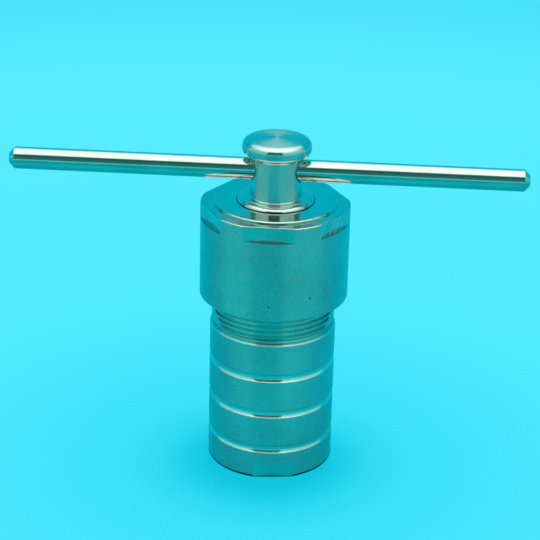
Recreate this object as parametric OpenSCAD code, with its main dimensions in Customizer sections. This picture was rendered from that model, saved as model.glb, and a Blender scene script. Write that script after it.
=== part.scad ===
// Screw-capped hydrothermal reactor: a steel vessel with a fluoropolymer liner,
// closed by a threaded cap that is turned with a sliding bar.
// Origin: centre of the vessel's base. +Z up, bar along X. Millimetres.

/* [Vessel] */
// Outer diameter of the vessel
vessel_d = 58; // [56:0.5:62]
// Thickness of the vessel's floor
vessel_floor = 7; // [4:0.5:12]
// How far the vessel's rim stands above the liner's lid
rim_over_lid = 2; // [1:0.25:3]
// Rounding of the edge at the base
base_round = 0.6; // [0.3:0.1:1]
// Chamfer round the rim
rim_chamfer = 0.6; // [0.3:0.1:1]

/* [Grip grooves] */
// Number of grip grooves below the one that ends the thread
groove_count = 3; // [1:1:3]
// Height of the middle of the lowest groove
groove_first = 15.1; // [13:0.1:16]
// Distance from groove to groove
groove_pitch = 18.1; // [12:0.1:18.5]
// Width of a groove at the surface
groove_w = 4; // [2:0.1:5]
// Depth of a groove
groove_depth = 0.9; // [0.4:0.1:1.2]

/* [Vice flats] */
// Distance across the two flats at the base
vice_af = 55; // [52:0.5:56]
// Height of the flats
vice_h = 8; // [5:0.5:10]
// Turn of the flats about the vessel's axis
vice_angle = 7; // [-90:0.5:90]

/* [Thread] */
// Outside diameter of the vessel's thread
thread_d = 56.5; // [55:0.25:57.5]
// Pitch of the thread
thread_pitch = 2.5; // [1.5:0.5:3]
// Radial clearance between the thread's crests and the cap
thread_clearance = 0.15; // [0.1:0.05:0.3]

/* [Cap] */
// Outside diameter of the cap
cap_d = 68; // [66:0.5:76]
// Height of the cap's lower edge above the base
cap_foot_z = 82; // [76:0.5:90]
// Thickness of the cap's top, land included
cap_top_t = 10.5; // [9:0.5:16]
// Diameter of the raised land on top
land_d = 56; // [50:0.5:60]
// Height of the land
land_h = 1; // [0.8:0.1:2]
// Rounding of the land's edge
land_edge = 0.5; // [0.3:0.1:0.7]
// Chamfer round the cap's lower edge
cap_chamfer = 1; // [0.5:0.1:2]
// Rounding of the cap's upper edge
cap_edge = 0.6; // [0.3:0.1:1]

/* [Spanner flats] */
// Distance across opposite spanner flats
spanner_af = 64; // [62:0.25:65.5]
// Height of the spanner flats
spanner_h = 7; // [4:0.5:9]
// Turn of the spanner flats about the cap's axis
spanner_angle = -1; // [-30:0.5:30]

/* [Liner] */
// Outside diameter of the liner
liner_d = 46; // [42:0.5:48]
// Bore of the liner
liner_bore = 38; // [30:0.5:40]
// Depth of the liner's chamber
liner_depth = 88; // [84:0.5:90]
// Thickness of the liner's floor
liner_floor = 7; // [5:0.5:10]
// Thickness of the liner's lid
lid_t = 8; // [5:0.5:12]
// Length of the lid's plug in the liner's mouth
plug_l = 6; // [3:0.5:10]
// Radial clearance of the liner and the discs in the vessel
liner_clearance = 0.2; // [0.1:0.05:0.4]
// Radial clearance of the lid's plug in the liner
plug_clearance = 0.1; // [0.05:0.05:0.3]
// Rounding at the foot of the liner's chamber
liner_corner = 3; // [1:0.5:6]

/* [Discs] */
// Thickness of the disc under the liner
base_disc_t = 3; // [2:0.5:5]
// Thickness of the pressure disc on the lid
pressure_disc_t = 4; // [3:0.5:6]
// Chamfer round both discs
disc_chamfer = 0.5; // [0.3:0.1:0.8]

/* [Handle post] */
// Diameter of the post's flange
flange_d = 35.2; // [32:0.2:40]
// Rounding of the flange's edge
flange_edge = 2.7; // [2:0.1:3]
// Lean of the flange's side where it meets the cap, in degrees
flange_lean = 20; // [10:1:30]
// Slope of the flange's top, in degrees
flange_slope = 8; // [4:1:16]
// Diameter of the step on the flange
step_d = 28.8; // [28:0.1:29.4]
// Rise of that step
step_rise = 0.4; // [0.2:0.1:0.6]
// Diameter of the post at its foot
foot_d = 23.8; // [22:0.2:24]
// Diameter of the post at its neck
neck_d = 20.4; // [18:0.2:21]
// Concave fillet at the post's foot
foot_fillet = 0.6; // [0.4:0.1:1]
// Concave fillet under the head
neck_fillet = 2.4; // [1:0.1:2.6]
// Height of the head's underside above the cap
head_z = 21.9; // [21:0.1:26]
// Diameter of the head
head_d = 31.2; // [30.5:0.1:34]
// Height of the head's rim
head_h = 7.4; // [7:0.1:10]
// Rounding of the head's upper edge, where it leaves the crown
head_top_r = 5; // [4:0.1:6]
// Rounding of the head's upper edge, where it meets the side
head_side_r = 3; // [2:0.1:3.5]
// Angle at which those two roundings meet
head_blend = 60; // [45:1:75]
// Rounding of the head's lower edge
head_low_r = 2.8; // [2:0.1:3.4]
// Rise of the head's crown above its rim
crown_h = 0.6; // [0.3:0.1:1.5]
// Diameter of the stud that holds the post in the cap
stud_d = 14; // [10:0.5:18]
// Length of the stud
stud_l = 7; // [5:0.5:8]
// Radial clearance of the stud in its hole
stud_clearance = 0.05; // [0.02:0.01:0.1]

/* [Handle bar] */
// Diameter of the bar
bar_d = 10; // [8:0.5:11]
// Length of the bar
bar_l = 234; // [160:1:300]
// Height of the bar's axis above the cap
bar_z = 14.5; // [13.5:0.1:15]
// How far the bar is pushed through, along X
bar_shift = -3.8; // [-30:0.1:30]
// Chamfer on the bar's ends
bar_chamfer = 2.4; // [0.5:0.1:3]
// Radial clearance of the bar in the post
bar_clearance = 0.2; // [0.1:0.05:0.3]

/* [Hidden] */

STEEL = [0.72, 0.74, 0.75];
POLISHED = [0.80, 0.82, 0.83];
WHITE = [0.94, 0.94, 0.92];
ROUND = 96;      // facets of a circle when drawn as a mesh
ARC_STEPS = 8;   // segments of a quarter round in an outline
PAST = 1;        // how far a cut runs past the face it opens
UP = 90;         // degrees from level to straight up
TURN = 360;      // degrees in a whole turn

// The stack inside, from the vessel's floor up to the cap's ceiling
liner_z = vessel_floor + base_disc_t;
chamber_z = liner_z + liner_floor;
lid_z = chamber_z + liner_depth;
disc_z = lid_z + lid_t;
ceiling_z = disc_z + pressure_disc_t;
rim_z = disc_z + rim_over_lid;

// Bores that follow what they hold
vessel_bore = liner_d + 2 * liner_clearance;
cap_bore = thread_d + 2 * thread_clearance;
post_bore = bar_d + 2 * bar_clearance;

// Heights on the cap
cap_top_z = ceiling_z + cap_top_t;
shoulder_z = cap_top_z - land_h;
spanner_z = shoulder_z - spanner_h;
stud_hole_l = stud_l + PAST;

// Groove cutter: a round tool that leaves the wanted width and depth
groove_r = (pow(groove_w / 2, 2) + pow(groove_depth, 2)) / (2 * groove_depth);
groove_centre = vessel_d / 2 - groove_depth + groove_r;

// The thread starts in the middle of the groove above the grip grooves
thread_z = groove_first + groove_count * groove_pitch;
thread_depth = 0.6 * thread_pitch;
thread_flank = thread_depth * tan(30);
thread_crest = thread_pitch / 8;
thread_root = thread_pitch - 2 * thread_flank - thread_crest;
thread_runout = groove_w / 2;
thread_turns = floor((rim_z - thread_depth - thread_z - thread_runout) / thread_pitch);

// Points of an arc, from angle a to angle b
function arc(x, y, r, a, b) =
    [for (i = [0:ARC_STEPS]) let (t = a + (b - a) * i / ARC_STEPS) [x + r * cos(t), y + r * sin(t)]];

// A disc with both edges chamfered, standing on z = 0
module chamfered_disc(d, h, edge) {
    rotate_extrude($fn = ROUND)
        polygon([[0, 0], [d / 2 - edge, 0], [d / 2, edge], [d / 2, h - edge], [d / 2 - edge, h], [0, h]]);
}

// A plain cylinder with its lower edge rounded, standing on z = 0
module round_footed_cylinder(d, h, edge) {
    rotate_extrude($fn = ROUND) {
        square([d / 2 - edge, h]);
        translate([0, edge])
            square([d / 2, h - edge]);
        translate([d / 2 - edge, edge])
            circle(r = edge, $fn = ROUND);
    }
}

// Outline of the threaded neck: rings of the thread's own form
function thread_ring(z) = [
    [thread_d / 2 - thread_depth, z],
    [thread_d / 2 - thread_depth, z + thread_root],
    [thread_d / 2, z + thread_root + thread_flank],
    [thread_d / 2, z + thread_root + thread_flank + thread_crest]
];

module threaded_neck() {
    first = thread_z + thread_runout;
    last = first + thread_turns * thread_pitch;
    neck_r = thread_d / 2 - thread_depth;
    rotate_extrude($fn = ROUND)
        polygon(concat(
            [[0, thread_z - groove_w], [thread_d / 2, thread_z - groove_w]],
            [[thread_d / 2, first - thread_flank]],
            [for (i = [0:thread_turns - 1]) each thread_ring(first + i * thread_pitch)],
            [[neck_r, last], [neck_r, rim_z - rim_chamfer], [neck_r - rim_chamfer, rim_z], [0, rim_z]]));
}

module grip_grooves() {
    for (i = [0:groove_count])
        translate([0, 0, groove_first + i * groove_pitch])
            rotate_extrude($fn = ROUND)
                translate([groove_centre, 0])
                    circle(r = groove_r, $fn = ROUND);
}

module vice_flats() {
    cut = vessel_d / 2 - vice_af / 2;
    for (side = [0, 180])
        rotate([0, 0, vice_angle + side])
            translate([-vessel_d / 2, -vice_af / 2 - cut - PAST, -PAST])
                cube([vessel_d, cut + PAST, vice_h + PAST]);
}

module vessel_bore_cut() {
    translate([0, 0, vessel_floor])
        cylinder(d = vessel_bore, h = rim_z, $fn = ROUND);
    translate([0, 0, rim_z - rim_chamfer])
        cylinder(d1 = vessel_bore, d2 = vessel_bore + 4 * rim_chamfer, h = 2 * rim_chamfer, $fn = ROUND);
}

module vessel_body() {
    color(STEEL)
        difference() {
            union() {
                round_footed_cylinder(vessel_d, thread_z, base_round);
                threaded_neck();
            }
            grip_grooves();
            vice_flats();
            vessel_bore_cut();
        }
}

module base_disc() {
    color(STEEL)
        translate([0, 0, vessel_floor])
            chamfered_disc(liner_d, base_disc_t, disc_chamfer);
}

module liner_cup() {
    outer = liner_d / 2;
    inner = liner_bore / 2;
    height = liner_floor + liner_depth;
    edge = 0.5;
    color(WHITE)
        translate([0, 0, liner_z])
            rotate_extrude($fn = ROUND)
                polygon(concat(
                    [[0, 0], [outer - 2 * edge, 0], [outer, 2 * edge], [outer, height]],
                    [[inner + edge, height], [inner, height - edge]],
                    arc(inner - liner_corner, liner_floor + liner_corner, liner_corner, 0, -UP),
                    [[0, liner_floor]]));
}

module liner_lid() {
    plug = liner_bore / 2 - plug_clearance;
    edge = 0.8;
    color(WHITE)
        translate([0, 0, lid_z])
            rotate_extrude($fn = ROUND)
                polygon([[0, -plug_l], [plug - edge, -plug_l], [plug, edge - plug_l], [plug, 0],
                         [liner_d / 2, 0], [liner_d / 2, lid_t - edge],
                         [liner_d / 2 - edge, lid_t], [0, lid_t]]);
}

module pressure_disc() {
    color(STEEL)
        translate([0, 0, disc_z])
            chamfered_disc(liner_d, pressure_disc_t, disc_chamfer);
}

// The turned cap before milling: a cylinder with a raised, round-edged land
module cap_blank() {
    rotate_extrude($fn = ROUND) {
        polygon([[0, cap_foot_z], [cap_d / 2 - cap_chamfer, cap_foot_z],
                 [cap_d / 2, cap_foot_z + cap_chamfer],
                 [cap_d / 2, shoulder_z - cap_edge], [0, shoulder_z - cap_edge]]);
        translate([0, shoulder_z - 2 * cap_edge])
            square([cap_d / 2 - cap_edge, 2 * cap_edge]);
        translate([cap_d / 2 - cap_edge, shoulder_z - cap_edge])
            circle(r = cap_edge, $fn = ROUND);
        translate([0, shoulder_z - land_h])
            square([land_d / 2 - land_edge, 2 * land_h]);
        translate([0, shoulder_z - land_h])
            square([land_d / 2, 2 * land_h - land_edge]);
        translate([land_d / 2 - land_edge, cap_top_z - land_edge])
            circle(r = land_edge, $fn = ROUND);
    }
}

module spanner_flats() {
    cut = cap_d / 2 - spanner_af / 2;
    for (i = [0:5])
        rotate([0, 0, spanner_angle + 60 * i])
            translate([-cap_d / 2, -spanner_af / 2 - cut - PAST, spanner_z])
                cube([cap_d, cut + PAST, spanner_h + land_h + PAST]);
}

module cap_bore_cut() {
    translate([0, 0, cap_foot_z - PAST])
        cylinder(d = cap_bore, h = ceiling_z - cap_foot_z + PAST, $fn = ROUND);
    translate([0, 0, cap_foot_z - cap_chamfer])
        cylinder(d1 = cap_bore + 4 * cap_chamfer, d2 = cap_bore, h = 2 * cap_chamfer, $fn = ROUND);
}

module screw_cap() {
    color(STEEL)
        difference() {
            cap_blank();
            spanner_flats();
            cap_bore_cut();
            translate([0, 0, cap_top_z - stud_hole_l])
                cylinder(d = stud_d + 2 * stud_clearance, h = stud_hole_l + PAST, $fn = ROUND);
        }
}

// Outline of the turned post, from the flange's edge up to the crown
module post_outline() {
    // The flange's rounding ends in a slope, and the step stands on that slope
    step_r = step_d / 2;
    edge = [flange_d / 2 - flange_edge * cos(flange_lean), -flange_edge * sin(flange_lean)];
    slope_r = edge[0] + flange_edge * sin(flange_slope);
    slope_z = edge[1] + flange_edge * cos(flange_slope);
    step_foot = slope_z + (slope_r - step_r) * tan(flange_slope);
    step_z = step_foot + step_rise;
    foot = [foot_d / 2 + foot_fillet, step_z + foot_fillet];
    neck = [neck_d / 2 + neck_fillet, head_z - neck_fillet];
    rim_top = head_z + head_h;
    // The post's tapered wall touches both fillets: this is the angle of its normal
    rise = neck - foot;
    wall = atan2(rise[1], rise[0]) + acos((foot_fillet - neck_fillet) / norm(rise));
    // The head's two upper roundings touch where they meet, and the crown is an arc between them
    inset = head_top_r - head_side_r;
    side = [head_d / 2 - head_side_r, rim_top - head_top_r + inset * sin(head_blend)];
    crown_w = side[0] - inset * cos(head_blend);
    crown_r = (crown_w * crown_w + crown_h * crown_h) / (2 * crown_h);
    crown_edge = UP - asin(crown_w / crown_r);
    polygon(concat(
        [[0, 0]],
        arc(edge[0], edge[1], flange_edge, flange_lean, UP - flange_slope),
        [[step_r, step_foot], [step_r - step_rise / 2, step_z]],
        arc(foot[0], foot[1], foot_fillet, -UP, wall - TURN),
        arc(neck[0], neck[1], neck_fillet, wall, UP),
        arc(head_d / 2 - head_low_r, head_z + head_low_r, head_low_r, -UP, 0),
        arc(side[0], side[1], head_side_r, 0, head_blend),
        arc(crown_w, rim_top - head_top_r, head_top_r, head_blend, crown_edge),
        arc(0, rim_top + crown_h - crown_r, crown_r, crown_edge, UP)));
}

module handle_post() {
    color(POLISHED)
        translate([0, 0, cap_top_z])
            difference() {
                union() {
                    rotate_extrude($fn = ROUND)
                        post_outline();
                    translate([0, 0, -stud_l])
                        cylinder(d = stud_d, h = stud_l + PAST, $fn = ROUND);
                }
                translate([-head_d, 0, bar_z])
                    rotate([0, 90, 0])
                        cylinder(d = post_bore, h = 2 * head_d, $fn = ROUND);
            }
}

module handle_bar() {
    tip_d = bar_d - 2 * bar_chamfer;
    color(POLISHED)
        translate([bar_shift - bar_l / 2, 0, cap_top_z + bar_z])
            rotate([0, 90, 0])
                rotate_extrude($fn = ROUND)
                    polygon([[0, 0], [tip_d / 2, 0], [bar_d / 2, bar_chamfer],
                             [bar_d / 2, bar_l - bar_chamfer], [tip_d / 2, bar_l], [0, bar_l]]);
}

vessel_body();
base_disc();
liner_cup();
liner_lid();
pressure_disc();
screw_cap();
handle_post();
handle_bar();
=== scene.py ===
"""Looks of a screw-capped hydrothermal reactor: a turned steel vessel, a threaded cap with six
spanner flats, and a turned post with a sliding bar. Sizes are in millimetres and heights start
at the vessel's base. MM turns them into Blender's metres."""

import math

import bmesh
import bpy
import numpy as np
from mathutils import Matrix, Vector


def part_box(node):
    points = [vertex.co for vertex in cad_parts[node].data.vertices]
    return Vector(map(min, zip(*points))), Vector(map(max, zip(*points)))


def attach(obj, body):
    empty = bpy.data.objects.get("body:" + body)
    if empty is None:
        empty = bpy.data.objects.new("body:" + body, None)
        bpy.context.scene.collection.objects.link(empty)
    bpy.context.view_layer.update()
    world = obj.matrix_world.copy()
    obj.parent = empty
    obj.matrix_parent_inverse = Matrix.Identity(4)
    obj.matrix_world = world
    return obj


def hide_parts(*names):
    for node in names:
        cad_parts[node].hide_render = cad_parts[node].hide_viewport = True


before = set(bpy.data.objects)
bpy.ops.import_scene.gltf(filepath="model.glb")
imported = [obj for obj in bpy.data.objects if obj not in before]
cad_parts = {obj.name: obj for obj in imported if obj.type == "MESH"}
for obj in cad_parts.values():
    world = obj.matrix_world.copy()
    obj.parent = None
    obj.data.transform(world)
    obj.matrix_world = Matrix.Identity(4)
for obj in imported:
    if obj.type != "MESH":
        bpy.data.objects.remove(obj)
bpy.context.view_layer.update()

MM = 0.001
TURN = 2 * math.pi

# ---------------------------------------------------------------- sizes, in millimetres

# The vessel, its bore, and the chamfer at the bore's mouth
VESSEL_R = 29.0
VESSEL_FLOOR = 7.0
VESSEL_BORE_R = 23.2
RIM_Z = 115.0
BASE_ROUND = 0.6
BORE_CHAMFER_W = 1.2
BORE_CHAMFER_H = 0.6

# Grip grooves, and the groove where the thread runs out. RUNOUT_END is where its arc stops and
# the thread takes over, as a share of half its width.
GROOVE_HEIGHTS = (15.1, 33.2, 51.3)
RUNOUT_Z = 69.4
RUNOUT_END = -0.2
GROOVE_W = 4.0
GROOVE_DEPTH = 0.9
GROOVE_ROUND = ((GROOVE_W / 2) ** 2 + GROOVE_DEPTH ** 2) / (2 * GROOVE_DEPTH)

# Vice flats at the vessel's foot
VICE_AF = 55.0
VICE_H = 8.0
VICE_ANGLE = 7.0

# The thread: THREAD_PHASE is its height where a turn begins
THREAD_R = 28.25
THREAD_PITCH = 2.5
THREAD_DEPTH = 1.5
THREAD_CLEARANCE = 0.15
THREAD_START = 69.0
THREAD_PHASE = 0.35
THREAD_FLANK = 30.0
THREAD_ROOT_ROUND = 0.15
THREAD_CREST_ROUND = 0.07

# The cap, its land and its spanner flats
CAP_R = 34.0
CAP_FOOT_Z = 82.0
CEILING_Z = 117.0
CAP_TOP_Z = 127.5
LAND_R = 28.0
LAND_H = 1.0
LAND_EDGE = 0.42
CAP_CHAMFER = 1.0
CAP_EDGE = 0.6
MOUTH_CHAMFER = 1.6
MOUTH_Z = CAP_FOOT_Z + MOUTH_CHAMFER
THREAD_STOP_Z = CEILING_Z - 1.0
SHOULDER_Z = CAP_TOP_Z - LAND_H
SPANNER_AF = 64.0
SPANNER_H = 7.0
SPANNER_ANGLE = -1.0
LEDGE_INNER_R = 27.0    # nothing milled lies nearer to the axis

# The post. Heights are above the cap.
FLANGE_R = 17.6
FLANGE_EDGE = 2.7
FLANGE_LEAN = 20.0
FLANGE_SLOPE = 8.0
STEP_R = 14.4
STEP_RISE = 0.4
STEP_FOOT_ROUND = 0.15
STEP_EDGE_ROUND = 0.1
FOOT_R = 11.9
NECK_R = 10.2
FOOT_FILLET = 0.6
NECK_FILLET = 2.4
HEAD_R = 15.6
HEAD_Z = 21.9
HEAD_H = 7.4
HEAD_TOP_R = 5.0
HEAD_SIDE_R = 3.0
HEAD_BLEND = 60.0
HEAD_LOW_R = 2.8
CROWN_H = 0.6
STUD_R = 7.0
STUD_L = 7.0
STUD_HOLE_R = STUD_R + 0.05
STUD_HOLE_Z = CAP_TOP_Z - STUD_L - 1.0

# The bar
BAR_R = 5.0
BAR_Z = 142.0
BAR_CHAMFER = 2.4
BAR_CLEARANCE = 0.2

BREAK = 0.12            # an edge taken off with a file
FLAT_BREAK = 0.35       # the same along the upper edges of the spanner flats
SHARP_ANGLE = 14.0      # degrees between two faces that meet in an edge
COLUMNS = 192           # round a turned piece
COLUMN_GAP = 0.002      # radians: even columns nearer to a flat's edge are left out
JOIN_DISTANCE = 0.002   # points nearer than this become one
NEAR = 0.01             # faces this near to a height belong to it
PAINT_MARGIN = 0.05     # flats are told apart this far inside the edge at their open end
SAME_WAY = 0.99995      # cosine between a flat and its own normal
LEVEL = 0.999           # cosine between a ledge and the upright axis
LEAST_FACING = 0.05     # keeps flats finite on columns that face away from them

# ---------------------------------------------------------------- camera, paper and room

# The camera: where it stands round the object, what it looks at, and its tilt. In metres.
VIEW_AZIMUTH = 3.45
VIEW_ELEVATION = 23.352
VIEW_ROLL = 1.41
VIEW_DISTANCE = 0.9
VIEW_TARGET = (-0.0018, -0.0001, 0.0927)
FOCAL_LENGTH = 130.8

# Colours of the cyan paper, of a strip of pale card on it, and of the lamp, as steel mirrors them
PAPER_FRONT = (0.009, 0.575, 0.650)
PAPER_SHADED = (0.001, 0.500, 0.590)
PAPER_NEAR = (0.012, 0.780, 0.880)
PAPER_UNDER = (0.002, 0.520, 0.683)
PAPER_BACK = (0.001, 0.600, 0.820)
PAPER_EDGE = (0.100, 0.780, 0.886)
CARD = (0.275, 0.530, 0.390)
CARD_SHADED = (0.050, 0.370, 0.350)
LAMP = (1.55, 1.72, 1.72)
BLACK = (0.0, 0.0, 0.0)

# The paper as the camera sees it, by metres from the vessel's foot: a painted soft shadow, darkest at
# the foot
PAPER_BY_DISTANCE = ((0.026, (0.011, 0.590, 0.780)), (0.036, (0.018, 0.640, 0.840)),
                     (0.048, (0.033, 0.710, 0.910)), (0.066, (0.048, 0.750, 0.955)),
                     (0.110, (0.063, 0.780, 0.980)), (0.160, (0.080, 0.810, 0.985)),
                     (0.210, (0.092, 0.825, 0.985)), (0.600, (0.105, 0.830, 0.985)),
                     (0.850, (0.070, 0.740, 0.965)))
PAPER_LIT = (0.012, 0.100, 0.120)    # the share of it that shadows reach
SHADE_CENTRE = (-0.0012, -0.0115, 0.0)
FIBRE_SHADE = 0.055                  # how far the paper's fibres lighten and darken it

# Where the mirrored paper changes, in metres. An edge is (start, end), and a band is (start,
# full, last, end): nothing up to start, all of it from full to last, and nothing from end on.
FLOOR_R = 3.0
PAPER_RIM = (1.15, 1.25)
NEAR_EDGE_Y = (-0.24, -0.17)
NEAR_SHARE = 0.25
UNDER_EDGE_Y = (-0.10, -0.03)
BACK_EDGE_Y = (0.0, 0.25)
CARD_BAND = (0.56, 0.61, 0.66, 0.77)
CARD_END_ANGLES = (92, 100)
FOOT_SHADE = (0.0280, 0.0305, 0.20, 1.0)
SOFT_SHADE = (0.029, 0.075, 0.88, 1.0)
FIGURE_CENTRE = 6.0                  # degrees to the left of the camera
FIGURE_SHADE_ANGLES = (16, 32)

# The room by degrees to the right of the camera and by degrees above level
ROOM_SIDES = (-110, -104, 98, 108)
FIGURE_SIDES = (-36, -31, 18, 24)
FIGURE_TOP = (51, 57)
PAPER_TOP_FRONT = (2, 8)
PAPER_TOP_FIGURE = (4, 7)
PAPER_TOP_BACK = (36, 44)
ROOM_BY_HEIGHT = ((8, PAPER_EDGE), (14, (0.20, 0.85, 0.90)), (22, (0.33, 0.78, 0.68)),
                  (37, (0.40, 0.84, 0.73)), (50, (0.77, 1.40, 1.32)), (58, (1.20, 1.53, 1.48)),
                  (66, LAMP))
FIGURE_BY_HEIGHT = ((5, (0.010, 0.190, 0.210)), (14, (0.026, 0.250, 0.250)),
                    (25, (0.036, 0.190, 0.180)), (36, (0.028, 0.128, 0.118)),
                    (50, (0.024, 0.190, 0.150)))

# ---------------------------------------------------------------- finishes, in millimetres

STEEL = (0.645, 0.665, 0.610)
STEEL_FRESH = (0.80, 0.83, 0.77)
STEEL_MILLED = (0.70, 0.76, 0.69)
# steel darkened and tinted teal: a painted reflection of the cyan paper
STEEL_PAINTED_TEAL = (0.10, 0.44, 0.43)
STEEL_STAIN_AND_SHADE = (0.03, 0.04, 0.05)      # stained pits and stains, painted shade in seams, at feet and under edges, and darker side ledges
FLUOROPOLYMER = (0.86, 0.86, 0.84)
FLUOROPOLYMER_DULL = (0.80, 0.80, 0.76)
TURNED = 0.85                        # how far fine turning spreads light across itself
TURNED_ANGLE = 0.25                  # which way, as a share of a turn
SPREAD = 0.02                        # what clouds and bands of tool lines add to roughness

# The vessel and the cap: fresh cuts under the skin, painted shade in seams, teal painted reflections,
# and stains
SKIN_EDGE_R = (28.60, 28.96)
SKIN_TOP_Z = (100, 110)
THREADS_FOOT_Z = (70, 71)
THREADS_AGED = 0.6
TOP_FACE_Z = (SHOULDER_Z - 0.2, SHOULDER_Z - 0.1)
# Painted shade: a dark ring on the cap round the post's foot
SEAM_SHADE_R = (17.5, 18.3)
# Painted shade: a dark line along the vessel's foot
VESSEL_FOOT_SHADE_Z = (0.9, 1.4)
# Painted shade: dark on the cap's lower face and edge, over the thread
MOUTH_SHADE_R = (28.6, 28.8, 33.0, 33.6)
MOUTH_SHADE_Z = (81.5, 81.8, 82.1, 82.4)
LAND_SIDE_R = (27.8, 27.9, 28.02, 28.1)
LAND_SIDE_Z = (126.9, 127.1)
# A ring beside the land, at the front only, darkened and tinted teal: a painted reflection
TEAL_RING_R = (28.06, 28.2, 29.2, 30.7)
TEAL_RING_Y = (-26, -18)
TEAL_RING_SHARE = 0.8
RUNOUT_BAND_Z = (67.2, 67.4, 69.8, 70.4)
# Where the run-out groove, above its lower edge, turns teal: a painted reflection
RUNOUT_TEAL_Z = (67.8, 68.2)
STAINS = ((18.1, -28.8, 92.4), (-0.1, -34.0, 89.2), (-29.7, -16.6, 105.6))
STAIN_EDGE_R = (0.28, 0.48)
SATIN_ROUGH = 0.20
FRESH_ROUGH = 0.12
RUNOUT_ADDS = 0.13
THREADS_TAKE = -0.09
TOP_FACE_ROUGH = 0.09

# Milled flats: the cutter's centre, where the flats at the sides begin, and how far a face has
# to look up (1 is level) to count as a ledge
CUTTER_CENTRE = (50, 30, 85)
SIDE_FLATS_X = (12, 18)
DARK_LEDGE = (0.6, 0.9)
SMOOTH_LEDGE = (0.5, 0.9)
SCRATCHED_WALL = (0.3, 0.6)
SCRATCH_HEIGHT = (0.55, 0.66)
LEDGE_DARKENING = 0.42
SCRATCH_ADDS = 0.42
SWEEP_ADDS = 0.05
FLAT_ROUGH = 0.20
LEDGE_ROUGH = 0.10

# The post, by height above the cap, the rim of the bar's hole, the bar and the liner
POST_WALL = (2.6, 3.6, 17.5, 19.5)
CROWN_EDGE = (28.8, 29.3)
# Painted shade: a dark line at the post's foot, where it meets the cap
POST_FOOT_SHADE = (0.2, 0.6)
# Painted shade: a dark rim round the bar's hole
HOLE_RIM_R = (5.2, 6.4)
HOLE_SHADE = 0.85
ROUNDING_ROUGH = 0.10
WALL_ROUGH = 0.09
CROWN_ROUGH = 0.25
BAR_ROUGH = 0.07
BAR_CLOUDS_ADD = 0.02
BAR_LINES_ADD = 0.03
BAR_WANDER = 0.004                   # how far its lines wander round it for each step along it
LINER_ROUGH = 0.42
LINER_LINES_ADD = 0.10


# ---------------------------------------------------------------- camera and studio

def make_camera():
    a = math.radians(VIEW_AZIMUTH)
    e = math.radians(VIEW_ELEVATION)
    back = Vector((math.sin(a) * math.cos(e), -math.cos(a) * math.cos(e), math.sin(e)))
    right = Vector((math.cos(a), math.sin(a), 0))
    upright = Matrix((right, back.cross(right), back)).transposed()
    camera = bpy.data.objects.new("camera", bpy.data.cameras.new("camera"))
    bpy.context.scene.collection.objects.link(camera)
    camera.data.lens = FOCAL_LENGTH
    camera.matrix_world = Matrix.LocRotScale(
        Vector(VIEW_TARGET) + VIEW_DISTANCE * back,
        (upright @ Matrix.Rotation(math.radians(VIEW_ROLL), 3, "Z")).to_quaternion(),
        None)
    bpy.context.scene.camera = camera


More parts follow.
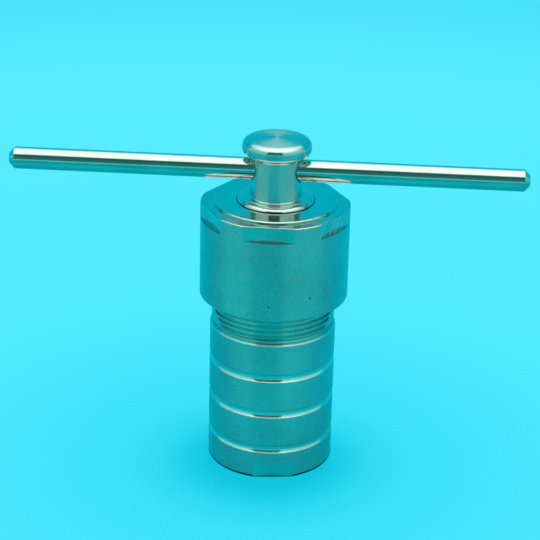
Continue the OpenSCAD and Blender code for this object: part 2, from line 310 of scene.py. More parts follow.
class Nodes:
    """Short calls that add nodes to one node tree and join them."""

    def __init__(self, tree):
        self.tree = tree
        tree.nodes.clear()

    def add(self, kind, inputs=None, **settings):
        node = self.tree.nodes.new(kind)
        for name, value in settings.items():
            setattr(node, name, value)
        for name, value in (inputs or {}).items():
            self.put(value, node.inputs[name])
        return node

    def put(self, value, socket):
        if isinstance(value, bpy.types.NodeSocket):
            self.tree.links.new(value, socket)
        elif isinstance(value, tuple) and socket.type == "RGBA":
            socket.default_value = (*value, 1)
        else:
            socket.default_value = value

    def maths(self, operation, *values):
        node = self.add("ShaderNodeMath", operation=operation)
        for value, socket in zip(values, node.inputs):
            self.put(value, socket)
        return node.outputs[0]

    def product(self, first, *others):
        for other in others:
            first = self.maths("MULTIPLY", first, other)
        return first

    def total(self, first, *others):
        for other in others:
            first = self.maths("ADD", first, other)
        return first

    def largest(self, first, *others):
        for other in others:
            first = self.maths("MAXIMUM", first, other)
        return first

    def ramp(self, value, low, high, to_low=0.0, to_high=1.0):
        """to_low up to low, to_high from high on, and a smooth change between them."""
        node = self.add("ShaderNodeMapRange", interpolation_type="SMOOTHSTEP")
        for name, given in (("Value", value), ("From Min", low), ("From Max", high),
                            ("To Min", to_low), ("To Max", to_high)):
            self.put(given, node.inputs[name])
        return node.outputs[0]

    def fall(self, value, last, end):
        """1 up to last, and 0 from end on."""
        return self.ramp(value, last, end, 1.0, 0.0)

    def band(self, value, start, full, last, end):
        """0 up to start, 1 from full to last, and 0 from end on."""
        return self.product(self.ramp(value, start, full), self.fall(value, last, end))

    def gradient(self, value, stops):
        """A colour that runs through stops of (value, colour)."""
        low = stops[0][0]
        span = stops[-1][0] - low
        node = self.add("ShaderNodeValToRGB")
        points = node.color_ramp.elements
        while len(points) < len(stops):
            points.new(1.0)
        for point, (place, colour) in zip(points, stops):
            point.position = (place - low) / span
            point.color = (*colour, 1)
        self.put(self.maths("DIVIDE", self.maths("SUBTRACT", value, float(low)), float(span)),
                 node.inputs["Fac"])
        return node.outputs["Color"]

    def mix(self, share, first, second):
        """From the first colour to the second."""
        node = self.add("ShaderNodeMix", data_type="RGBA")
        self.put(share, node.inputs[0])
        self.put(first, node.inputs[6])
        self.put(second, node.inputs[7])
        return node.outputs[2]

    def blend(self, share, first, second):
        """From the first number to the second."""
        node = self.add("ShaderNodeMix", data_type="FLOAT")
        self.put(share, node.inputs[0])
        self.put(first, node.inputs[2])
        self.put(second, node.inputs[3])
        return node.outputs[0]

    def scaled(self, vector, factor):
        return self.add("ShaderNodeVectorMath", {0: vector, "Scale": factor},
                        operation="SCALE").outputs[0]

    def distance(self, place, point):
        return self.add("ShaderNodeVectorMath", {0: place, 1: point},
                        operation="DISTANCE").outputs["Value"]

    def split(self, vector):
        return self.add("ShaderNodeSeparateXYZ", {"Vector": vector}).outputs

    def bearing(self, x, y):
        """Degrees about the upright axis, from the front to the right."""
        return self.maths("DEGREES", self.maths("ARCTAN2", x, self.maths("MULTIPLY", y, -1.0)))

    def mirrored_or_seen(self, mirrored, seen):
        """One shader for what the steel mirrors, and one for what the camera sees."""
        either = self.add("ShaderNodeMixShader")
        self.put(self.add("ShaderNodeLightPath").outputs["Is Camera Ray"], either.inputs[0])
        self.put(mirrored.outputs[0], either.inputs[1])
        self.put(seen.outputs[0], either.inputs[2])
        return either.outputs[0]


def make_world():
    """The camera sees plain cyan. Steel mirrors a pale room with a lamp overhead, a dark figure
    behind the camera, and the cyan paper that rises behind the object."""
    world = bpy.data.worlds.new("studio")
    bpy.context.scene.world = world
    world.use_nodes = True
    n = Nodes(world.node_tree)
    turned = n.add("ShaderNodeVectorRotate", rotation_type="Z_AXIS")
    n.put(n.add("ShaderNodeTexCoord").outputs["Generated"], turned.inputs["Vector"])
    n.put(math.radians(-VIEW_AZIMUTH), turned.inputs["Angle"])
    x, y, z = n.split(turned.outputs[0])
    elevation = n.maths("DEGREES", n.maths("ARCSINE", z))
    azimuth = n.bearing(x, y)

    figure = n.product(n.band(azimuth, *FIGURE_SIDES), n.fall(elevation, *FIGURE_TOP))
    room = n.gradient(elevation, ROOM_BY_HEIGHT)
    room = n.mix(figure, room, n.gradient(elevation, FIGURE_BY_HEIGHT))

    before = n.band(azimuth, *ROOM_SIDES)
    paper = n.mix(before, PAPER_BACK, PAPER_EDGE)
    above_figure_edge = n.product(figure, n.ramp(elevation, *PAPER_TOP_FIGURE))
    above_front = n.largest(n.ramp(elevation, *PAPER_TOP_FRONT), above_figure_edge)
    above_paper = n.largest(n.product(above_front, before), n.ramp(elevation, *PAPER_TOP_BACK))
    mirrored = n.add("ShaderNodeBackground", {"Color": n.mix(above_paper, paper, room)})
    seen = n.add("ShaderNodeBackground", {"Color": PAPER_BY_DISTANCE[-1][1]})
    n.add("ShaderNodeOutputWorld", {"Surface": n.mirrored_or_seen(mirrored, seen)})


def mirrored_paper(n, place):
    """The paper's colour as steel mirrors it: shaded by the figure, with the card lying on it,
    and dark where it meets the vessel."""
    x, y, z = n.split(place)
    distance = n.add("ShaderNodeVectorMath", {0: place}, operation="LENGTH").outputs["Value"]
    turn = n.bearing(x, y)
    from_figure = n.maths("ABSOLUTE", n.maths("ADD", turn, FIGURE_CENTRE))
    clear = n.ramp(from_figure, *FIGURE_SHADE_ANGLES)
    colour = n.mix(clear, PAPER_SHADED, PAPER_FRONT)
    colour = n.mix(n.ramp(y, *NEAR_EDGE_Y, 0, NEAR_SHARE), colour, PAPER_NEAR)
    colour = n.mix(n.ramp(y, *UNDER_EDGE_Y), colour, PAPER_UNDER)
    colour = n.mix(n.ramp(y, *BACK_EDGE_Y), colour, PAPER_BACK)
    colour = n.mix(n.ramp(distance, *PAPER_RIM), colour, PAPER_EDGE)
    card = n.product(n.band(distance, *CARD_BAND),
                     n.fall(n.maths("ABSOLUTE", turn), *CARD_END_ANGLES))
    colour = n.mix(card, colour, n.mix(clear, CARD_SHADED, CARD))
    shade = n.product(n.ramp(distance, *FOOT_SHADE), n.ramp(distance, *SOFT_SHADE))
    return n.mix(shade, BLACK, colour)


def cyan_paper():
    """Cyan paper. The camera sees it bright, with a fine grain and the object's soft shadow, which
    is mostly painted on by distance from the foot; only a small lit share takes cast shadows.
    """
    material = bpy.data.materials.new("cyan_paper")
    material.use_nodes = True
    n = Nodes(material.node_tree)
    place = n.add("ShaderNodeTexCoord").outputs["Object"]
    mirrored = n.add("ShaderNodeEmission", {"Color": mirrored_paper(n, place)})

    fibre = n.add("ShaderNodeTexNoise", {"Vector": place, "Scale": 1100.0, "Detail": 2.0})
    grain = n.ramp(fibre.outputs["Fac"], 0.3, 0.7, 1 - FIBRE_SHADE, 1 + FIBRE_SHADE)
    full = n.scaled(n.gradient(n.distance(place, SHADE_CENTRE), PAPER_BY_DISTANCE), grain)
    own = n.add("ShaderNodeVectorMath", {0: full, 1: PAPER_LIT}, operation="SUBTRACT")
    seen = n.add("ShaderNodeAddShader")
    n.put(n.add("ShaderNodeEmission", {"Color": own.outputs[0]}).outputs[0], seen.inputs[0])
    n.put(n.add("ShaderNodeBsdfDiffuse", {"Color": PAPER_LIT}).outputs[0], seen.inputs[1])
    n.add("ShaderNodeOutputMaterial", {"Surface": n.mirrored_or_seen(mirrored, seen)})
    return material


def make_floor():
    sheet = bmesh.new()
    bmesh.ops.create_circle(sheet, cap_ends=True, segments=96, radius=FLOOR_R)
    mesh = bpy.data.meshes.new("floor")
    sheet.to_mesh(mesh)
    sheet.free()
    floor = bpy.data.objects.new("floor", mesh)
    bpy.context.scene.collection.objects.link(floor)
    floor.data.materials.append(cyan_paper())


# ---------------------------------------------------------------- turned shapes

def arc(centre, radius, start, end, step=8.0):
    """Points of an arc from angle start to angle end, in degrees, ends included."""
    count = max(2, math.ceil(abs(end - start) / step))
    angles = [math.radians(start + (end - start) * i / count) for i in range(count + 1)]
    return [(centre[0] + radius * math.cos(a), centre[1] + radius * math.sin(a)) for a in angles]


def eased(corners, step=9.0):
    """An outline from corners (radius, height, rounding): each corner with a rounding becomes an arc."""
    points = []
    for i, corner in enumerate(corners):
        here = Vector(corner[:2])
        rounding = corner[2] if len(corner) > 2 else 0
        if not rounding or i in (0, len(corners) - 1):
            points.append(tuple(here))
            continue
        a = (Vector(corners[i - 1][:2]) - here).normalized()
        b = (Vector(corners[i + 1][:2]) - here).normalized()
        half = a.angle(b) / 2
        centre = here + (a + b).normalized() * (rounding / math.sin(half))
        first = here + a * (rounding / math.tan(half)) - centre
        last = here + b * (rounding / math.tan(half)) - centre
        start = math.degrees(math.atan2(first.y, first.x))
        sweep = (math.degrees(math.atan2(last.y, last.x)) - start + 180) % 360 - 180
        points += arc(centre, rounding, start, start + sweep, step)
    return points


def columns_with(edges=()):
    """Angles round the axis: even columns, and one at each edge of a flat."""
    even = np.linspace(0, TURN, COLUMNS + 1)
    extra = np.radians(np.asarray(edges, float)) % TURN
    kept = [a for a in even[1:-1] if all(abs(a - e) > COLUMN_GAP for e in extra)]
    return np.array(sorted([0.0, TURN, *kept, *extra]))


def flat_edges(normals, across, radius):
    """Angles, in degrees, where flats end on a round piece."""
    spread = math.degrees(math.acos(across / 2 / radius))
    return [a + side * spread for a in normals for side in (-1, 1)]


def plain_rows(outline, angles):
    return [(np.full(angles.shape, r), np.full(angles.shape, z)) for r, z in outline]


def to_flats(row, angles, distance, normals):
    """A row cut back to flats that stand at a distance from the axis."""
    facing = np.max([np.cos(angles - math.radians(a)) for a in normals], axis=0)
    return np.minimum(row[0], distance / np.maximum(facing, LEAST_FACING)), row[1]


def thread_profile():
    """One pitch of the thread as (depth below the crest, height), with eased corners."""
    flank = THREAD_DEPTH * math.tan(math.radians(THREAD_FLANK))
    crest = THREAD_PITCH / 8
    root = THREAD_PITCH - 2 * flank - crest
    start = -root / 2
    corners = [(THREAD_DEPTH, start),
               (THREAD_DEPTH, start + root / 2, 0),
               (THREAD_DEPTH, start + root, THREAD_ROOT_ROUND),
               (0, start + root + flank, THREAD_CREST_ROUND),
               (0, start + root + flank + crest, THREAD_CREST_ROUND),
               (THREAD_DEPTH, start + THREAD_PITCH, THREAD_ROOT_ROUND),
               (THREAD_DEPTH, start + THREAD_PITCH + root / 2)]
    return eased(corners, step=30)[1:-1]


def thread_rows(angles, low, high, radius_at):
    """Rows that climb one pitch a turn between two heights. radius_at gives the radius for a depth
    below the crest and a height."""
    rows = []
    first = math.floor((low - THREAD_PHASE) / THREAD_PITCH) - 2
    last = math.ceil((high - THREAD_PHASE) / THREAD_PITCH) + 1
    for turn in range(first, last + 1):
        for depth, height in thread_profile():
            z = THREAD_PHASE + THREAD_PITCH * (turn + angles / TURN) + height
            z = np.clip(z, low, high)
            rows.append((radius_at(depth, z), z))
    return rows


def run_in(distance):
    """The share of the thread's depth that is cut at a distance from its end: all after half a turn."""
    return np.clip(distance / (THREAD_PITCH / 2), 0, 1)


def turned_mesh(name, angles, rows):
    """A closed skin through rows of (radius, height), one value for each angle, with the first
    and last rows on the axis. Points that fall together are joined."""
    radius = np.array([r for r, _ in rows]) * MM
    height = np.array([z for _, z in rows]) * MM
    points = np.stack((radius * np.cos(angles), radius * np.sin(angles), height), axis=-1)
    count = len(angles)
    corner = np.arange(len(rows) - 1)[:, None] * count + np.arange(count - 1)
    faces = np.stack((corner, corner + 1, corner + count + 1, corner + count), axis=-1)
    mesh = bpy.data.meshes.new(name)
    mesh.from_pydata(points.reshape(-1, 3).tolist(), [], faces.reshape(-1, 4).tolist())
    skin = bmesh.new()
    skin.from_mesh(mesh)
    bmesh.ops.remove_doubles(skin, verts=skin.verts, dist=JOIN_DISTANCE * MM)
    bmesh.ops.recalc_face_normals(skin, faces=skin.faces)
    skin.to_mesh(mesh)
    skin.free()
    return mesh


def finish_piece(name, mesh, body, node, slot, *materials):
    """Gives a mesh its edges, its materials and its place on a body."""
    mesh.shade_smooth()
    mesh.set_sharp_from_angle(angle=math.radians(SHARP_ANGLE))
    piece = bpy.data.objects.new(name, mesh)
    bpy.context.scene.collection.objects.link(piece)
    for material in materials:
        mesh.materials.append(material)
    weighted = piece.modifiers.new("even_shading", "WEIGHTED_NORMAL")
    weighted.mode = "FACE_AREA"
    weighted.weight = 100
    weighted.keep_sharp = True
    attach(piece, body)
    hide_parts(node)


def paint_flats(mesh, normals, low, high):
    """Gives the second material to flats whose normals lie level at these angles, and to the
    ledges at their ends."""
    ways = [Vector((math.cos(math.radians(a)), math.sin(math.radians(a)), 0)) for a in normals]
    for face in mesh.polygons:
        z = face.center.z / MM
        radius = math.hypot(face.center.x, face.center.y) / MM
        between = low - NEAR < z < high + NEAR
        on_flat = between and any(face.normal.dot(way) > SAME_WAY for way in ways)
        at_end = abs(z - low) < NEAR or abs(z - high) < NEAR
        on_ledge = at_end and abs(face.normal.z) > LEVEL and radius > LEDGE_INNER_R
        if on_flat or on_ledge:
            face.material_index = 1


# ---------------------------------------------------------------- the vessel

def groove_arc(z, end=1.0):
    """The hollow of one groove, from its lower edge up to a share of half its width."""
    centre = (VESSEL_R - GROOVE_DEPTH + GROOVE_ROUND, z)
    half = math.degrees(math.asin(GROOVE_W / 2 / GROOVE_ROUND))
    return arc(centre, GROOVE_ROUND, 180 + half, 180 - end * half, step=6)


def grip_groove(z):
    """The outline of one grip groove, with broken edges."""
    hollow = groove_arc(z)
    return eased([(VESSEL_R, z - GROOVE_W), (*hollow[0], BREAK), *hollow[1:-1],
                  (*hollow[-1], BREAK), (VESSEL_R, z + GROOVE_W)])[1:-1]


def runout_groove():
    """The outline of the groove below the thread, up to where the thread takes over."""
    hollow = groove_arc(RUNOUT_Z, RUNOUT_END)
    return eased([(VESSEL_R, RUNOUT_Z - GROOVE_W), (*hollow[0], BREAK), *hollow[1:]])[1:]


def neck_blank(z):
    """Radius of the neck before its thread is cut, with the run-out groove and the rim's chamfer."""
    reach = np.clip(np.abs(z - RUNOUT_Z), 0, GROOVE_W / 2)
    groove = VESSEL_R - GROOVE_DEPTH + GROOVE_ROUND - np.sqrt(GROOVE_ROUND ** 2 - reach ** 2)
    in_groove = np.abs(z - RUNOUT_Z) < GROOVE_W / 2
    blank = np.where(in_groove, np.minimum(groove, THREAD_R), THREAD_R)
    chamfer = THREAD_R - np.clip(z - (RIM_Z - THREAD_DEPTH), 0, None)
    return np.minimum(blank, chamfer)


def neck_thread(depth, z):
    return np.minimum(THREAD_R - depth * run_in(z - THREAD_START), neck_blank(z))


def make_vessel(turned, milled):
    normals = (VICE_ANGLE - 90, VICE_ANGLE + 90)
    angles = columns_with(flat_edges(normals, VICE_AF, VESSEL_R))
    foot = eased([(0, 0), (VESSEL_R, 0, BASE_ROUND), (VESSEL_R, VICE_H)])
    wall = [(VESSEL_R, VICE_H)]
    for z in GROOVE_HEIGHTS:
        wall += grip_groove(z)
    wall += runout_groove()
    inside = eased([(THREAD_R - THREAD_DEPTH, RIM_Z), (VESSEL_BORE_R + BORE_CHAMFER_W, RIM_Z, BREAK),
                    (VESSEL_BORE_R, RIM_Z - BORE_CHAMFER_H), (VESSEL_BORE_R, VESSEL_FLOOR),
                    (0, VESSEL_FLOOR)])
    rows = [to_flats(row, angles, VICE_AF / 2, normals) for row in plain_rows(foot, angles)]
    rows += plain_rows(wall, angles)
    rows += thread_rows(angles, THREAD_START, RIM_Z, neck_thread)
    rows += plain_rows(inside, angles)
    mesh = turned_mesh("vessel", angles, rows)
    paint_flats(mesh, normals, PAINT_MARGIN, VICE_H)
    finish_piece("vessel", mesh, "vessel", "vessel_body", "turned_steel", turned, milled)


# ---------------------------------------------------------------- the cap

def cap_thread(depth, z):
    ends = run_in(z - MOUTH_Z) * run_in(THREAD_STOP_Z - z)
    return THREAD_R + THREAD_CLEARANCE - depth * ends


def spanner_distance(z):
    """Distance of a spanner flat from the axis, which draws in where its upper edge is broken."""
    share = min(1, max(0, 1 + (z - SHOULDER_Z) / FLAT_BREAK))
    return SPANNER_AF / 2 - FLAT_BREAK * (1 - math.sqrt(1 - share ** 2))


def make_cap(turned, milled):
    normals = [SPANNER_ANGLE + 90 + 60 * i for i in range(6)]
    angles = columns_with(flat_edges(normals, SPANNER_AF, CAP_R))
    ledge = SHOULDER_Z - SPANNER_H
    stud_hole = [(0, STUD_HOLE_Z), (STUD_HOLE_R, STUD_HOLE_Z), (STUD_HOLE_R, CAP_TOP_Z)]
    land = eased([(STUD_HOLE_R, CAP_TOP_Z), (LAND_R - LAND_EDGE, CAP_TOP_Z, BREAK),
                  (LAND_R, CAP_TOP_Z - LAND_EDGE, BREAK), (LAND_R, SHOULDER_Z)], step=6)
    crown = eased([(LAND_R, SHOULDER_Z), (CAP_R, SHOULDER_Z, CAP_EDGE), (CAP_R, ledge)])
    wall = eased([(CAP_R, ledge), (CAP_R, CAP_FOOT_Z, CAP_CHAMFER),
                  (THREAD_R + MOUTH_CHAMFER, CAP_FOOT_Z, BREAK),
                  (THREAD_R + THREAD_CLEARANCE, MOUTH_Z)])
    ceiling = [(THREAD_R + THREAD_CLEARANCE, CEILING_Z), (0, CEILING_Z)]
    rows = plain_rows(stud_hole + land, angles)
    for row, (_, z) in zip(plain_rows(crown, angles), crown):
        rows.append(to_flats(row, angles, spanner_distance(z), normals))
    rows += plain_rows(wall, angles)
    rows += thread_rows(angles, MOUTH_Z, THREAD_STOP_Z, cap_thread)
    rows += plain_rows(ceiling, angles)
    mesh = turned_mesh("cap", angles, rows)
    paint_flats(mesh, normals, ledge, SHOULDER_Z - PAINT_MARGIN)
    finish_piece("cap", mesh, "cap", "screw_cap", "turned_steel", turned, milled)


# ---------------------------------------------------------------- the post and the bar

def flange_outline():
    """The stud, the flange's leaning edge, its slope and its step, and the step's height."""
    lean = math.radians(FLANGE_LEAN)
    slope = math.radians(FLANGE_SLOPE)
    edge = (FLANGE_R - FLANGE_EDGE * math.cos(lean), -FLANGE_EDGE * math.sin(lean))
    slope_r = edge[0] + FLANGE_EDGE * math.sin(slope)
    slope_z = edge[1] + FLANGE_EDGE * math.cos(slope)
    step_foot = slope_z + (slope_r - STEP_R) * math.tan(slope)
    step_z = step_foot + STEP_RISE
    rise = eased([(slope_r, slope_z), (STEP_R, step_foot, STEP_FOOT_ROUND),
                  (STEP_R - STEP_RISE / 2, step_z, STEP_EDGE_ROUND),
                  (FOOT_R + FOOT_FILLET, step_z)])[1:-1]
    return ([(0, -STUD_L), (STUD_R, -STUD_L), (STUD_R, 0)]
            + arc(edge, FLANGE_EDGE, FLANGE_LEAN, 90 - FLANGE_SLOPE, step=2.5) + rise), step_z


def wall_outline(step_z):
    """The tapered wall between its two fillets, which it meets without a corner."""
    foot = Vector((FOOT_R + FOOT_FILLET, step_z + FOOT_FILLET))
    neck = Vector((NECK_R + NECK_FILLET, HEAD_Z - NECK_FILLET))
    rise = neck - foot
    lean = math.acos((FOOT_FILLET - NECK_FILLET) / rise.length)
    wall = math.degrees(math.atan2(rise.y, rise.x) + lean)
    return (arc(foot, FOOT_FILLET, -90, wall - 360, step=8)
            + arc(neck, NECK_FILLET, wall, 90, step=4))


def head_outline():
    """The mushroom head: four arcs, each of which runs on into the next, and the crown."""
    rim_top = HEAD_Z + HEAD_H
    blend = math.radians(HEAD_BLEND)
    low = (HEAD_R - HEAD_LOW_R, HEAD_Z + HEAD_LOW_R)
    side = (HEAD_R - HEAD_SIDE_R,
            rim_top - HEAD_TOP_R + (HEAD_TOP_R - HEAD_SIDE_R) * math.sin(blend))
    top = (side[0] - (HEAD_TOP_R - HEAD_SIDE_R) * math.cos(blend), rim_top - HEAD_TOP_R)
    crown_r = (top[0] ** 2 + CROWN_H ** 2) / (2 * CROWN_H)
    crown_edge = 90 - math.degrees(math.asin(top[0] / crown_r))
    return (arc(low, HEAD_LOW_R, -90, 0, step=3)
            + arc(side, HEAD_SIDE_R, 0, HEAD_BLEND, step=2.5)
            + arc(top, HEAD_TOP_R, HEAD_BLEND, crown_edge, step=2.5)
            + arc((0, rim_top + CROWN_H - crown_r), crown_r, crown_edge, 90, step=0.4))


def bore_for_bar(mesh):
    """Cuts the bar's hole through the post and returns the new mesh."""
    hole_r = (BAR_R + BAR_CLEARANCE) * MM
    drill = bmesh.new()
    bmesh.ops.create_cone(drill, cap_ends=True, segments=COLUMNS // 2, depth=4 * HEAD_R * MM,
                          radius1=hole_r, radius2=hole_r)
    bmesh.ops.rotate(drill, verts=drill.verts, matrix=Matrix.Rotation(TURN / 4, 3, "Y"))
    bmesh.ops.translate(drill, verts=drill.verts, vec=(0, 0, BAR_Z * MM))
    drill_mesh = bpy.data.meshes.new("drill")
    drill.to_mesh(drill_mesh)
    drill.free()
    cutter = bpy.data.objects.new("drill", drill_mesh)
    blank = bpy.data.objects.new("blank", mesh)
    for helper in (cutter, blank):
        bpy.context.scene.collection.objects.link(helper)
    cut = blank.modifiers.new("bore", "BOOLEAN")
    cut.operation = "DIFFERENCE"
    cut.solver = "EXACT"
    cut.object = cutter
    bored = bpy.data.meshes.new_from_object(
        blank.evaluated_get(bpy.context.evaluated_depsgraph_get()))
    for helper in (cutter, blank):
        bpy.data.objects.remove(helper)
    return bored


def make_post(bright):
    flange, step_z = flange_outline()
    outline = flange + wall_outline(step_z) + head_outline()
    angles = columns_with()
    rows = plain_rows([(r, z + CAP_TOP_Z) for r, z in outline], angles)
    mesh = bore_for_bar(turned_mesh("post", angles, rows))
    finish_piece("post", mesh, "cap", "handle_post", "polished_steel", bright)


def make_bar(drawn):
    low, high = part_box("handle_bar")
    length = (high.x - low.x) / MM
    outline = eased([(0, 0), (BAR_R - BAR_CHAMFER, 0, BREAK), (BAR_R, BAR_CHAMFER, BREAK),
                     (BAR_R, length - BAR_CHAMFER, BREAK), (BAR_R - BAR_CHAMFER, length, BREAK),
                     (0, length)])
    angles = columns_with()
    mesh = turned_mesh("bar", angles, plain_rows(outline, angles))
    lay = Matrix.Translation((low.x, 0, BAR_Z * MM)) @ Matrix.Rotation(TURN / 4, 4, "Y")
    mesh.transform(lay)
    finish_piece("bar", mesh, "bar", "handle_bar", "polished_steel", drawn)


# ---------------------------------------------------------------- shared finishes

def finish_group(name, inputs, outputs):
    """A node group with named numbers in and out."""
    tree = bpy.data.node_groups.new(name, "ShaderNodeTree")
    n = Nodes(tree)
    for label, value in inputs.items():
        socket = tree.interface.new_socket(label, in_out="INPUT", socket_type="NodeSocketFloat")
        socket.default_value = value
    for label in outputs:
        tree.interface.new_socket(label, in_out="OUTPUT", socket_type="NodeSocketFloat")
    return tree, n, n.add("NodeGroupInput").outputs, n.add("NodeGroupOutput").inputs


def handling_marks():
    """Clouds left by hands and cloths, a fine speckle, and a few stained pits. Sizes in metres."""
    tree, n, given, result = finish_group(
        "handling_marks", {"Cloud Size": 0.02, "Pit Size": 0.0004}, ("Cloud", "Speckle", "Pit"))
    place = n.add("ShaderNodeTexCoord").outputs["Object"]
    density = n.maths("DIVIDE", 1.0, given["Cloud Size"])
    cloud = n.add("ShaderNodeTexNoise", {"Vector": place, "Scale": density, "Detail": 4.0,
                                         "Roughness": 0.6})
    n.put(n.ramp(cloud.outputs["Fac"], 0.32, 0.68), result["Cloud"])
    speckle = n.add("ShaderNodeTexNoise", {"Vector": place, "Scale": 1200.0, "Detail": 2.0,
                                           "Roughness": 0.6})
    n.put(n.ramp(speckle.outputs["Fac"], 0.3, 0.7), result["Speckle"])
    cells_per_metre = 45.0
    share_without_pit = 0.86
    cells = n.add("ShaderNodeTexVoronoi", {"Vector": place, "Scale": cells_per_metre})
    reach = n.maths("MULTIPLY", given["Pit Size"], cells_per_metre)
    pit = n.maths("LESS_THAN", cells.outputs["Distance"], reach)
    rare = n.maths("GREATER_THAN", n.split(cells.outputs["Color"])[0], share_without_pit)
    n.put(n.product(pit, rare), result["Pit"])
    return tree


def tool_lines():
    """Fine lines that a tool leaves side by side, told by the distance across them, and broader
    bands of such lines. Sizes in millimetres."""
    lines_to_a_band = 0.09
    tree, n, given, result = finish_group(
        "tool_lines", {"Across": 0.0, "Pitch": 0.3}, ("Height", "Band"))
    step = n.maths("DIVIDE", given["Across"], given["Pitch"])
    fine = n.add("ShaderNodeTexNoise", {"W": step, "Scale": 1.0, "Detail": 2.0},
                 noise_dimensions="1D")
    broad = n.add("ShaderNodeTexNoise", {"W": n.product(step, lines_to_a_band), "Scale": 1.0,
                                         "Detail": 3.0}, noise_dimensions="1D")
    n.put(fine.outputs["Fac"], result["Height"])
    n.put(n.ramp(broad.outputs["Fac"], 0.3, 0.7), result["Band"])
    return tree


# ---------------------------------------------------------------- materials

def start_material(name):
    """A new material, its nodes, and the place on its piece in millimetres."""
    material = bpy.data.materials.new(name)
    material.use_nodes = True
    n = Nodes(material.node_tree)
    return material, n, n.scaled(n.add("ShaderNodeTexCoord").outputs["Object"], 1 / MM)


def use_group(n, tree, inputs):
    node = n.add("ShaderNodeGroup", node_tree=tree)
    for label, value in inputs.items():
        n.put(value, node.inputs[label])
    return node.outputs


def from_axis(n, x, y):
    return n.maths("SQRT", n.total(n.product(x, x), n.product(y, y)))


def turning(n, lines_group, radius, z, pitch):
    """Tool lines of a lathe, which run round walls and faces alike."""
    return use_group(n, lines_group, {"Across": n.maths("SUBTRACT", z, radius), "Pitch": pitch})


def bumped(n, height, depth):
    """The normal over a height that is depth millimetres deep."""
    return n.add("ShaderNodeBump", {"Height": height, "Strength": 1.0,
                                    "Distance": depth * MM}).outputs[0]


def worn(n, marks, clean, clouds, speckle):
    """Steel's colour under its clouds, its speckle and its pits."""
    dulled = n.add("ShaderNodeMix", data_type="RGBA", blend_type="MULTIPLY")
    shade = n.total(n.product(marks["Cloud"], clouds), n.product(marks["Speckle"], speckle))
    n.put(shade, dulled.inputs[0])
    n.put(clean, dulled.inputs[6])
    n.put(BLACK, dulled.inputs[7])
    return n.mix(marks["Pit"], dulled.outputs[2], STEEL_STAIN_AND_SHADE)


def uneven(n, roughness, marks, lines):
    """Roughness with a little more under clouds and bands of tool lines."""
    return n.total(roughness, n.product(n.total(marks["Cloud"], lines["Band"]), SPREAD))


def steel_shader(n, colour, roughness, normal, turned=0.0):
    """Bare metal. turned is how far the lathe's lines spread light across themselves."""
    steel = n.add("ShaderNodeBsdfPrincipled", {
        "Base Color": colour, "Metallic": 1.0, "Roughness": roughness, "Normal": normal,
        "Anisotropic": turned, "Anisotropic Rotation": TURNED_ANGLE})
    if turned:
        round_axis = n.add("ShaderNodeTangent", direction_type="RADIAL", axis="Z")
        n.put(round_axis.outputs[0], steel.inputs["Tangent"])
    n.add("ShaderNodeOutputMaterial", {"Surface": steel.outputs[0]})


def satin_stains_and_shade(n, place, radius, z, top_face):
    """Painted shade round the post's foot, along the vessel's foot and on the cap's lower face,
    and three small stains on the cap's wall."""
    seam = n.product(top_face, n.fall(radius, *SEAM_SHADE_R))
    foot = n.fall(z, *VESSEL_FOOT_SHADE_Z)
    mouth = n.product(n.band(radius, *MOUTH_SHADE_R), n.band(z, *MOUTH_SHADE_Z))
    stains = [n.fall(n.distance(place, spot), *STAIN_EDGE_R) for spot in STAINS]
    return n.largest(seam, foot, mouth, *stains)


def satin_turned_steel(marks_group, lines_group):
    """The vessel and the cap: fine turning, fresh cuts in grooves and threads, a run-out groove
    that was left rough and is painted teal above its lower edge, a bright top face, painted
    shade and stains, and a ring beside its land painted teal at the front: painted reflection."""
    material, n, place = start_material("satin_turned_steel")
    x, y, z = n.split(place)
    radius = from_axis(n, x, y)
    marks = use_group(n, marks_group, {"Cloud Size": 0.03})
    lines = turning(n, lines_group, radius, z, 0.4)
    top_face = n.ramp(z, *TOP_FACE_Z)
    under_skin = n.product(n.fall(radius, *SKIN_EDGE_R), n.fall(z, *SKIN_TOP_Z))
    threads = n.product(under_skin, n.ramp(z, *THREADS_FOOT_Z))
    fresh = n.maths("SUBTRACT", under_skin, n.product(threads, THREADS_AGED))
    runout = n.band(z, *RUNOUT_BAND_Z)

    colour = worn(n, marks, n.mix(fresh, STEEL, STEEL_FRESH), clouds=0.12, speckle=0.13)
    # Painted shade at the post's foot, the vessel's foot and under the cap, and three stains.
    colour = n.mix(satin_stains_and_shade(n, place, radius, z, top_face), colour, STEEL_STAIN_AND_SHADE)
    # A ring beside the land at the front, darkened and tinted teal: painted reflection of the cyan
    # paper.
    ring = n.product(n.band(radius, *TEAL_RING_R), n.fall(y, *TEAL_RING_Y), top_face,
                     TEAL_RING_SHARE)
    colour = n.mix(ring, colour, STEEL_PAINTED_TEAL)
    # The run-out groove above its lower edge, tinted teal: painted reflection.
    colour = n.mix(n.product(runout, n.ramp(z, *RUNOUT_TEAL_Z)), colour, STEEL_PAINTED_TEAL)

    roughness = n.ramp(fresh, 0, 1, SATIN_ROUGH, FRESH_ROUGH)
    roughness = n.total(roughness, n.product(runout, RUNOUT_ADDS), n.product(threads, THREADS_TAKE))
    land_side = n.product(n.band(radius, *LAND_SIDE_R), n.fall(z, *LAND_SIDE_Z))
    faced = n.product(top_face, n.maths("SUBTRACT", 1.0, land_side))
    roughness = n.blend(faced, roughness, TOP_FACE_ROUGH)
    normal = bumped(n, lines["Height"], 0.004)
    steel_shader(n, colour, uneven(n, roughness, marks, lines), normal, TURNED)
    return material


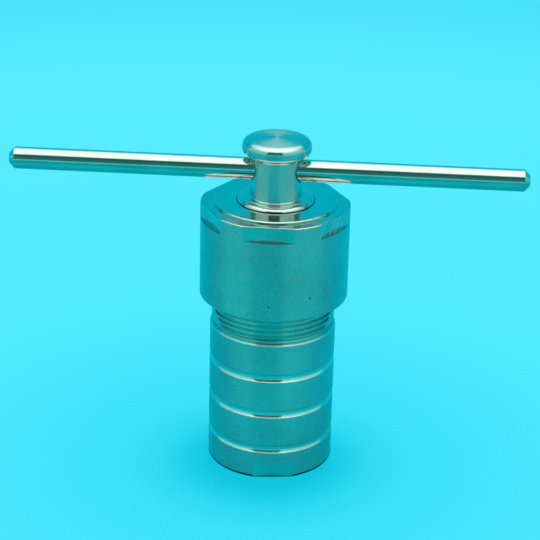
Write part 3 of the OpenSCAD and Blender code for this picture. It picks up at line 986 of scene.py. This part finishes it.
def milled_steel(marks_group, lines_group):
    """Flats with the round sweep of a milling cutter. Those at the right are scratched, and the
    ledges at both sides are darker."""
    material, n, place = start_material("milled_steel")
    x = n.split(place)[0]
    marks = use_group(n, marks_group, {"Cloud Size": 0.012})
    lines = use_group(n, lines_group, {"Across": n.distance(place, CUTTER_CENTRE), "Pitch": 0.9})
    up = n.split(n.add("ShaderNodeNewGeometry").outputs["Normal"])[2]
    at_sides = n.ramp(n.maths("ABSOLUTE", x), *SIDE_FLATS_X)
    # The ledges at both sides are darker.
    darker_ledges = n.product(n.ramp(up, *DARK_LEDGE), at_sides, LEDGE_DARKENING)
    clean = worn(n, marks, STEEL_MILLED, clouds=0.10, speckle=0.12)
    scratch = n.product(n.ramp(lines["Height"], *SCRATCH_HEIGHT), n.fall(up, *SCRATCHED_WALL),
                        n.ramp(x, *SIDE_FLATS_X))
    roughness = n.total(n.ramp(up, *SMOOTH_LEDGE, FLAT_ROUGH, LEDGE_ROUGH),
                        n.product(lines["Band"], SWEEP_ADDS), n.product(scratch, SCRATCH_ADDS))
    normal = bumped(n, lines["Height"], 0.03)
    steel_shader(n, n.mix(darker_ledges, clean, STEEL_STAIN_AND_SHADE), roughness, normal)
    return material


def polished_turned_steel(marks_group, lines_group):
    """The post: bright roundings and wall, a domed top that was faced coarser, and painted shade
    at its foot and round the bar's hole."""
    material, n, place = start_material("polished_turned_steel")
    x, y, z = n.split(place)
    radius = from_axis(n, x, y)
    height = n.maths("SUBTRACT", z, CAP_TOP_Z)
    marks = use_group(n, marks_group, {"Cloud Size": 0.010})
    lines = turning(n, lines_group, radius, z, 0.3)
    roughness = n.blend(n.band(height, *POST_WALL), ROUNDING_ROUGH, WALL_ROUGH)
    roughness = n.blend(n.ramp(height, *CROWN_EDGE), roughness, CROWN_ROUGH)
    clean = worn(n, marks, STEEL, clouds=0.10, speckle=0.05)
    # Painted shade at the post's foot.
    colour = n.mix(n.ramp(height, *POST_FOOT_SHADE), STEEL_STAIN_AND_SHADE, clean)
    # Painted shade round the rim of the bar's hole.
    from_bar = from_axis(n, y, n.maths("SUBTRACT", z, BAR_Z))
    colour = n.mix(n.product(n.fall(from_bar, *HOLE_RIM_R), HOLE_SHADE), colour, STEEL_STAIN_AND_SHADE)
    normal = bumped(n, lines["Height"], 0.003)
    steel_shader(n, colour, uneven(n, roughness, marks, lines), normal, TURNED)
    return material


def drawn_steel(marks_group, lines_group):
    """The bar: polished along its length, with lines that wander slowly round it."""
    material, n, place = start_material("drawn_steel")
    x, y, z = n.split(place)
    turn = n.maths("ARCTAN2", y, n.maths("SUBTRACT", z, BAR_Z))
    across = n.total(n.product(turn, BAR_R), n.product(x, BAR_WANDER))
    marks = use_group(n, marks_group, {"Cloud Size": 0.016})
    lines = use_group(n, lines_group, {"Across": across, "Pitch": 0.3})
    colour = worn(n, marks, STEEL, clouds=0.12, speckle=0.05)
    roughness = n.total(BAR_ROUGH, n.product(marks["Cloud"], BAR_CLOUDS_ADD),
                        n.product(lines["Band"], BAR_LINES_ADD))
    steel_shader(n, colour, roughness, bumped(n, lines["Height"], 0.003))
    return material


def white_fluoropolymer(marks_group, lines_group):
    """The liner: waxy, with the lines of the lathe."""
    material, n, place = start_material("white_fluoropolymer")
    x, y, z = n.split(place)
    marks = use_group(n, marks_group, {"Cloud Size": 0.020})
    lines = turning(n, lines_group, from_axis(n, x, y), z, 0.4)
    colour = n.mix(n.product(marks["Cloud"], 0.5), FLUOROPOLYMER, FLUOROPOLYMER_DULL)
    roughness = n.total(LINER_ROUGH, n.product(lines["Band"], LINER_LINES_ADD))
    waxy = n.add("ShaderNodeBsdfPrincipled", {
        "Base Color": colour, "Roughness": roughness, "Subsurface Weight": 0.1,
        "Subsurface Scale": 0.002, "Normal": bumped(n, lines["Height"], 0.01)})
    n.add("ShaderNodeOutputMaterial", {"Surface": waxy.outputs[0]})
    return material


def dress_hidden_nodes(turned, white):
    """The discs and the liner inside keep their own solids, with finished materials."""
    for node, material in (("base_disc", turned), ("pressure_disc", turned),
                           ("liner_cup", white), ("liner_lid", white)):
        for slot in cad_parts[node].material_slots:
            slot.material = material


bpy.context.scene.view_settings.view_transform = "Standard"
make_camera()
make_world()
make_floor()
hands = handling_marks()
tools = tool_lines()
satin = satin_turned_steel(hands, tools)
milled = milled_steel(hands, tools)
make_vessel(satin, milled)
make_cap(satin, milled)
make_post(polished_turned_steel(hands, tools))
make_bar(drawn_steel(hands, tools))
dress_hidden_nodes(satin, white_fluoropolymer(hands, tools))
